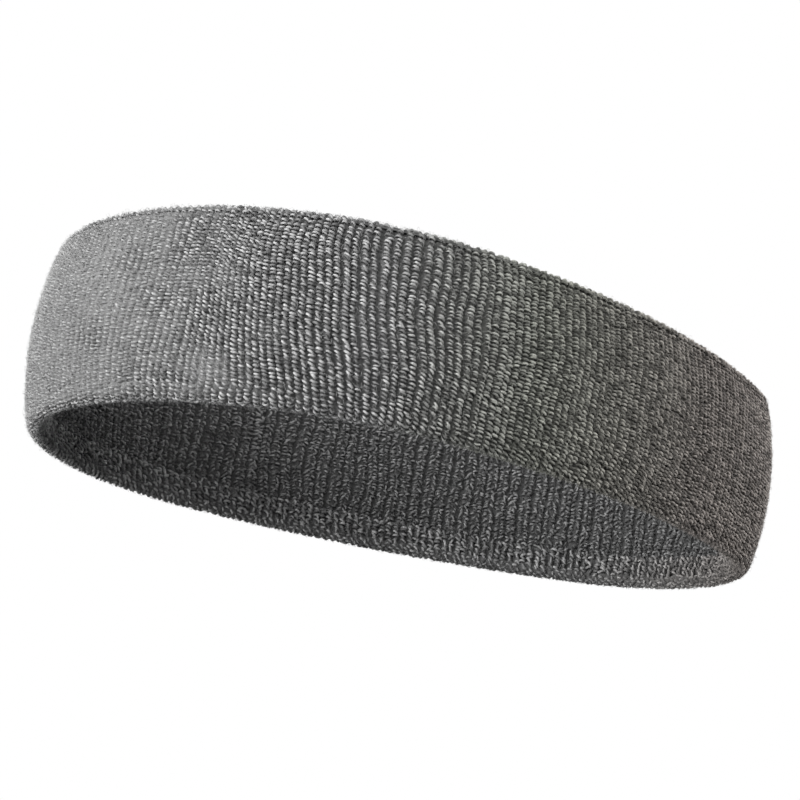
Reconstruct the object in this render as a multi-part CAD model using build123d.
"""Sports headband: one tube of terry knit, folded into two walls and held open as a head holds it.

Millimetres, +Z up. The origin is the bottom centre of the bounding box, where the lower fold rests,
and +X points to the tighter curve that sits on the forehead.
"""

import math
import os

from build123d import *

# Overall size
BAND_HEIGHT = 50.0
BAND_THICKNESS = 5.5
WALL_BOW = 3.0
RESTING_LAND = 0.15

# Plan outline at mid-height, outer face: tangent arcs
BACK_RADIUS = 79.0
SIDE_RADIUS = 204.0
FRONT_RADIUS = 53.0

# Layers, as distances from the middle of the thickness
PILE_OUTSIDE = BAND_THICKNESS / 2
PILE_THICKNESS = 1.5
GROUND_THICKNESS = 0.6

# How far each fold's large loops reach along a wall, beyond the centre of the fold
EDGE_REACH_OUTER = 2.0
EDGE_REACH_INNER_TOP = 2.0
EDGE_REACH_INNER_BOTTOM = 6.5

# Elastic threads laid into the ground
ELASTIC_RADIUS = 0.25
ELASTIC_COUNT = 14
ELASTIC_MARGIN = 1.5
CLEARANCE = 0.05

# Linked seam where the two ends of the tube meet, on the inner wall above the lower fold
SEAM_HEIGHT = 9.0
SEAM_SLOT = 1.0
SEAM_ALLOWANCE = 4.0
SEAM_ALLOWANCE_THICKNESS = 1.0

# Derived section values: both walls are concentric arcs about one bow centre
FOLD_TOP_Z = BAND_HEIGHT - PILE_OUTSIDE
FOLD_BOTTOM_Z = PILE_OUTSIDE - RESTING_LAND
HALF_CHORD = (FOLD_TOP_Z - FOLD_BOTTOM_Z) / 2
BOW_CENTRE_Z = (FOLD_TOP_Z + FOLD_BOTTOM_Z) / 2
MID_RADIUS = (HALF_CHORD**2 + WALL_BOW**2) / (2 * WALL_BOW)
BOW_CENTRE_U = -PILE_OUTSIDE - MID_RADIUS
FOLD_ANGLE = math.asin(HALF_CHORD / MID_RADIUS)
PILE_INSIDE = PILE_OUTSIDE - PILE_THICKNESS
GROUND_INSIDE = PILE_INSIDE - GROUND_THICKNESS

# Derived plan values
SIDE_OFFSET = SIDE_RADIUS - BACK_RADIUS
CENTRE_SPACING = math.sqrt((SIDE_RADIUS - FRONT_RADIUS) ** 2 - SIDE_OFFSET**2)
BAND_LENGTH = BACK_RADIUS + CENTRE_SPACING + FRONT_RADIUS
BACK_X = BACK_RADIUS - BAND_LENGTH / 2
FRONT_X = BACK_X + CENTRE_SPACING
JOIN_ANGLE = math.degrees(math.atan2(SIDE_OFFSET, CENTRE_SPACING))

# Each arc of the plan: centre x, centre y, radius, start angle and sweep in degrees.
# The back's half circle is two arcs, so every arc's widest point is at its middle or its end.
PLAN_ARCS = (
    (FRONT_X, 0, FRONT_RADIUS, -JOIN_ANGLE, 2 * JOIN_ANGLE),
    (BACK_X, -SIDE_OFFSET, SIDE_RADIUS, JOIN_ANGLE, 90 - JOIN_ANGLE),
    (BACK_X, 0, BACK_RADIUS, 90, 90),
    (BACK_X, 0, BACK_RADIUS, 180, 90),
    (BACK_X, SIDE_OFFSET, SIDE_RADIUS, 270, 90 - JOIN_ANGLE),
)


def wall_point(distance, angle):
    """Section point at a distance outside the middle layer, and an angle above mid-height."""
    reach = MID_RADIUS + distance
    return (BOW_CENTRE_U + reach * math.cos(angle), BOW_CENTRE_Z + reach * math.sin(angle))


def wall_arc(distance, start, end):
    """Arc along a wall, between two angles."""
    middle = wall_point(distance, (start + end) / 2)
    return ThreePointArc(wall_point(distance, start), middle, wall_point(distance, end))


def fold_arc(distance, side):
    """Half circle round a fold, from the outer wall to the inner one. Side is 1 on top, -1 below."""
    angle = side * FOLD_ANGLE
    centre = wall_point(0, angle)
    tip = (
        centre[0] - distance * math.sin(angle) * side,
        centre[1] + distance * math.cos(angle) * side,
    )
    return ThreePointArc(wall_point(distance, angle), tip, wall_point(-distance, angle))


def angle_at_height(distance, height):
    """Wall angle where a layer passes a height."""
    return math.asin((height - BOW_CENTRE_Z) / (MID_RADIUS + distance))


def wall_section(near, far, start, end):
    """Face of one layer of a wall, between two distances and two angles."""
    edges = [
        wall_arc(far, start, end),
        Line(wall_point(far, end), wall_point(near, end)),
        wall_arc(near, end, start),
        Line(wall_point(near, start), wall_point(far, start)),
    ]
    return make_face(edges)


def fold_section(side, outer_end, inner_end):
    """Face of the pile that goes over a fold, down to an angle on each wall."""
    fold = side * FOLD_ANGLE
    edges = [
        wall_arc(PILE_OUTSIDE, outer_end, fold),
        fold_arc(PILE_OUTSIDE, side),
        wall_arc(-PILE_OUTSIDE, fold, inner_end),
        Line(wall_point(-PILE_OUTSIDE, inner_end), wall_point(-PILE_INSIDE, inner_end)),
        wall_arc(-PILE_INSIDE, inner_end, fold),
        fold_arc(PILE_INSIDE, side),
        wall_arc(PILE_INSIDE, fold, outer_end),
        Line(wall_point(PILE_INSIDE, outer_end), wall_point(PILE_OUTSIDE, outer_end)),
    ]
    return make_face(edges)


def loop_section(distance):
    """Face of everything inside one distance from the middle layer, folds included."""
    edges = [
        wall_arc(distance, -FOLD_ANGLE, FOLD_ANGLE),
        fold_arc(distance, 1),
        wall_arc(-distance, FOLD_ANGLE, -FOLD_ANGLE),
        fold_arc(distance, -1),
    ]
    return make_face(edges)


def ring(section):
    """Solid of a section carried round every arc of the plan."""
    pieces = []
    for centre_x, centre_y, radius, start, sweep in PLAN_ARCS:
        turn = math.radians(start)
        plane = Plane(
            origin=(centre_x, centre_y, 0),
            x_dir=(math.cos(turn), math.sin(turn), 0),
            z_dir=(math.sin(turn), -math.cos(turn), 0),
        )
        face = plane * Pos(radius, 0) * section
        spin = Axis((centre_x, centre_y, 0), (0, 0, 1))
        pieces.append(revolve(face, axis=spin, revolution_arc=sweep))
    return pieces[0].fuse(*pieces[1:])


def thread_rings(distance, angles):
    """Elastic threads, one closed hoop at each angle of a wall."""
    hoops = []
    for angle in angles:
        hoops += ring(Pos(*wall_point(distance, angle)) * Circle(ELASTIC_RADIUS)).solids()
    return Compound(hoops)


# Terry loops of the two walls, and of the two folds between them
outer_end = FOLD_ANGLE - EDGE_REACH_OUTER / MID_RADIUS
inner_top_end = FOLD_ANGLE - EDGE_REACH_INNER_TOP / MID_RADIUS
inner_bottom_end = FOLD_ANGLE - EDGE_REACH_INNER_BOTTOM / MID_RADIUS

outer_terry_pile = ring(wall_section(PILE_INSIDE, PILE_OUTSIDE, -outer_end, outer_end))
inner_terry_pile = ring(
    wall_section(-PILE_OUTSIDE, -PILE_INSIDE, -inner_bottom_end, inner_top_end)
)
top_edge_pile = ring(fold_section(1, outer_end, inner_top_end))
below_floor = Pos(BOW_CENTRE_U + MID_RADIUS, -PILE_OUTSIDE) * Rectangle(
    4 * BAND_THICKNESS, 2 * PILE_OUTSIDE
)
bottom_edge_pile = ring(fold_section(-1, -outer_end, -inner_bottom_end) - below_floor)

# Ground knit that carries the loops: a tube whose two ends meet at the seam slot
seam_angle = angle_at_height(-GROUND_INSIDE, SEAM_HEIGHT)
half_slot = SEAM_SLOT / 2 / MID_RADIUS
seam_slot = wall_section(
    -PILE_INSIDE - CLEARANCE, -GROUND_INSIDE + CLEARANCE, seam_angle - half_slot, seam_angle + half_slot
)
ground_knit = ring(loop_section(PILE_INSIDE) - loop_section(GROUND_INSIDE) - seam_slot)

# Seam: the linking thread that closes the slot, and the raw ends turned up between the walls
thread_half = half_slot - CLEARANCE / MID_RADIUS
seam_thread = ring(
    wall_section(
        -PILE_INSIDE + CLEARANCE,
        -GROUND_INSIDE - CLEARANCE,
        seam_angle - thread_half,
        seam_angle + thread_half,
    )
)
allowance_half = SEAM_ALLOWANCE_THICKNESS / 2
seam_allowance = ring(
    wall_section(
        -allowance_half,
        allowance_half,
        seam_angle - half_slot,
        seam_angle - half_slot + SEAM_ALLOWANCE / MID_RADIUS,
    )
)

# Elastic threads, clear of the seam allowance
thread_distance = GROUND_INSIDE - ELASTIC_RADIUS - CLEARANCE
thread_reach = FOLD_ANGLE - ELASTIC_MARGIN / MID_RADIUS
thread_angles = [
    thread_reach * (2 * index / (ELASTIC_COUNT - 1) - 1) for index in range(ELASTIC_COUNT)
]
seam_clear = ELASTIC_RADIUS / MID_RADIUS + half_slot
seam_low = seam_angle - half_slot - seam_clear
seam_high = seam_angle - half_slot + SEAM_ALLOWANCE / MID_RADIUS + seam_clear
clear_angles = [angle for angle in thread_angles if not seam_low < angle < seam_high]
outer_elastic_threads = thread_rings(thread_distance, clear_angles)
inner_elastic_threads = thread_rings(-thread_distance, clear_angles)

nodes = {
    "outer_terry_pile": outer_terry_pile,
    "inner_terry_pile": inner_terry_pile,
    "top_edge_pile": top_edge_pile,
    "bottom_edge_pile": bottom_edge_pile,
    "ground_knit": ground_knit,
    "seam_thread": seam_thread,
    "seam_allowance": seam_allowance,
    "outer_elastic_threads": outer_elastic_threads,
    "inner_elastic_threads": inner_elastic_threads,
}

os.makedirs("parts", exist_ok=True)
for name, shape in nodes.items():
    export_step(shape, f"parts/{name}.step")
